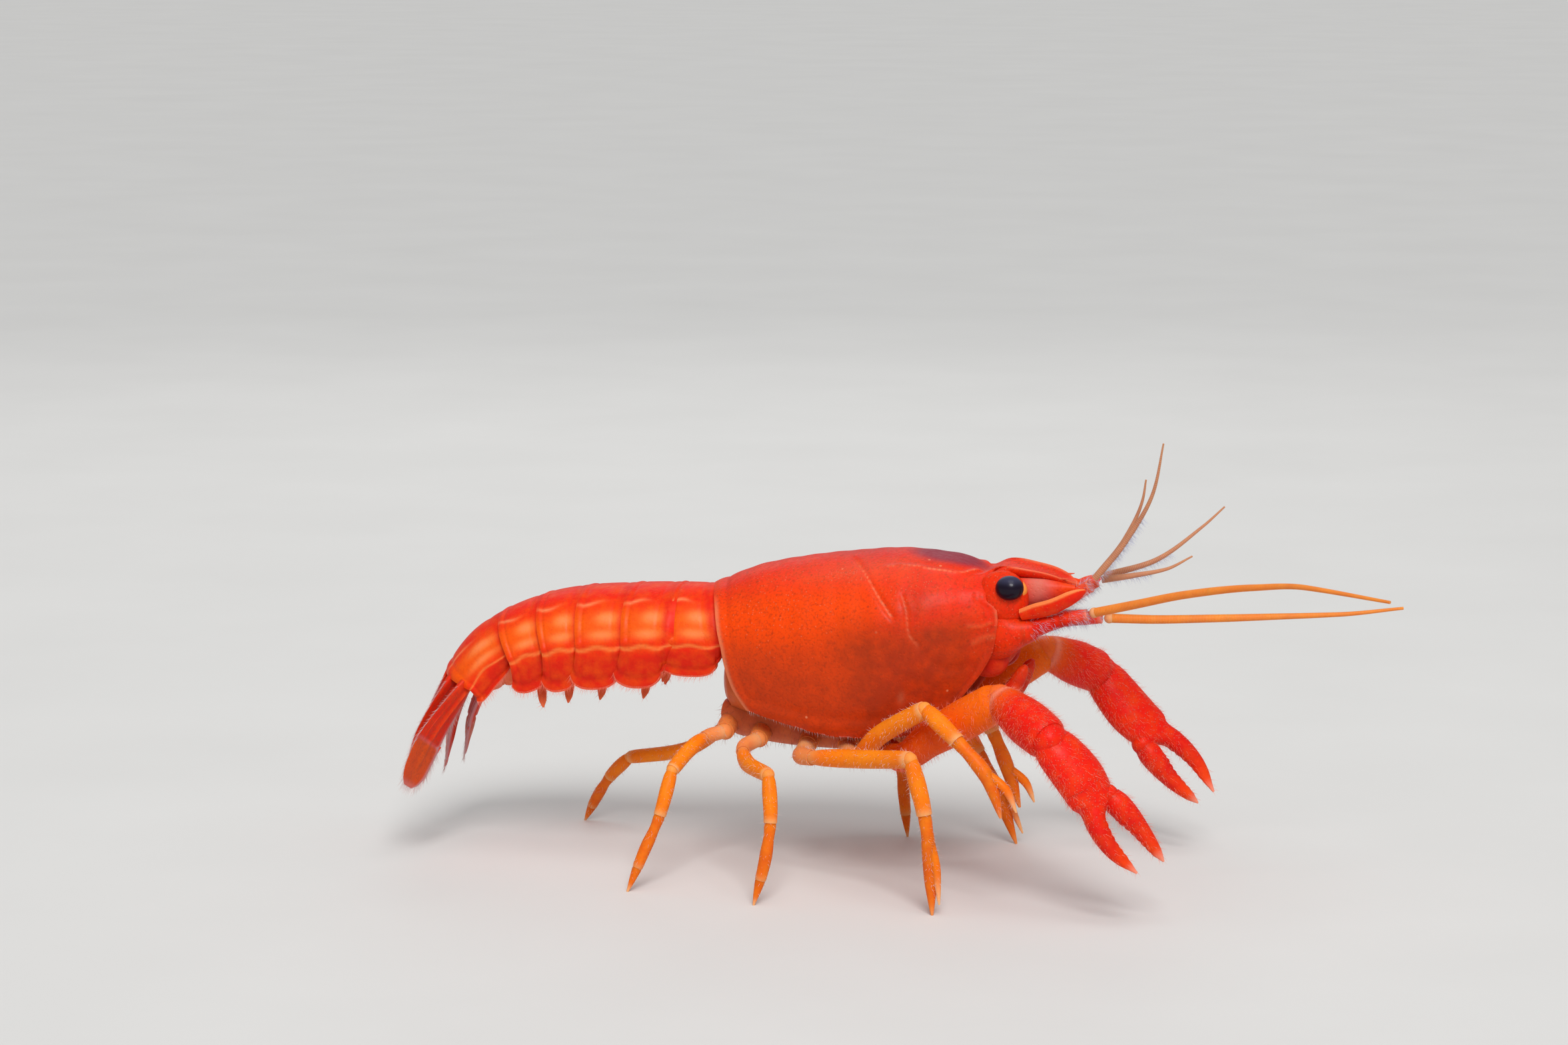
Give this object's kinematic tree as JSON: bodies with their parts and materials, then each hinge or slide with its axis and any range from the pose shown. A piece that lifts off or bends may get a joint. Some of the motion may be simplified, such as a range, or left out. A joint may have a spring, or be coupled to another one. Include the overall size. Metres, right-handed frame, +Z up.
{
  "type": "dwarf crayfish",
  "caption": "Small orange crayfish standing on its walking legs, with the clawed arms reaching forward and down, the tail curved down and the long feelers held forward.",
  "frame": {"origin": "under the middle of the body's bounding box, at the level that the feet rest on", "axes": "+X forward along the body to the head, +Y to the animal's left, +Z up"},
  "size_m": [0.0484, 0.0173, 0.0214],
  "materials": {
    "shell": "glossy orange-red chitin, darker and slightly translucent on the flank",
    "tail": "glossy orange-red chitin with paler orange bands",
    "fan": "bright red, with a pale fringe",
    "leg": "orange, with pale joints",
    "claw": "bright red, finely knobbed, with pale tips",
    "feeler": "ringed orange-brown",
    "eye": "glossy blue-black",
    "mouth": "dull reddish brown underside"
  },
  "bodies": {
    "root": {"abdomen_1": "tail", "abdomen_2": "tail", "abdomen_3": "tail", "abdomen_4": "tail", "abdomen_5": "tail", "abdomen_6": "tail", "antenna_base_left": "claw", "antenna_base_right": "claw", "antenna_inner_left": "feeler", "antenna_inner_right": "feeler", "antenna_outer_left": "feeler", "antenna_outer_right": "feeler", "antenna_scale_left": "leg", "antenna_scale_right": "leg", "antennule_base_left": "claw", "antennule_base_right": "claw", "antennule_inner_left": "feeler", "antennule_inner_right": "feeler", "antennule_outer_left": "feeler", "antennule_outer_right": "feeler", "carapace": "shell", "cheliped_arm_left": "claw", "cheliped_arm_right": "claw", "cheliped_finger_left": "claw", "cheliped_finger_right": "claw", "cheliped_hand_left": "claw", "cheliped_hand_right": "claw", "cheliped_wrist_left": "claw", "cheliped_wrist_right": "claw", "eye_left": "eye", "eye_right": "eye", "eyestalk_left": "mouth", "eyestalk_right": "mouth", "face": "mouth", "leg_2_lower_left": "leg", "leg_2_lower_right": "leg", "leg_2_upper_left": "leg", "leg_2_upper_right": "leg", "leg_3_lower_left": "leg", "leg_3_lower_right": "leg", "leg_3_upper_left": "leg", "leg_3_upper_right": "leg", "leg_4_lower_left": "leg", "leg_4_lower_right": "leg", "leg_4_upper_left": "leg", "leg_4_upper_right": "leg", "leg_5_lower_left": "leg", "leg_5_lower_right": "leg", "leg_5_upper_left": "leg", "leg_5_upper_right": "leg", "maxilliped_left": "mouth", "maxilliped_right": "mouth", "sternum": "mouth", "telson": "fan", "uropod_inner_left": "fan", "uropod_inner_right": "fan", "uropod_outer_left": "fan", "uropod_outer_right": "fan"}
  },
  "joints": []
}
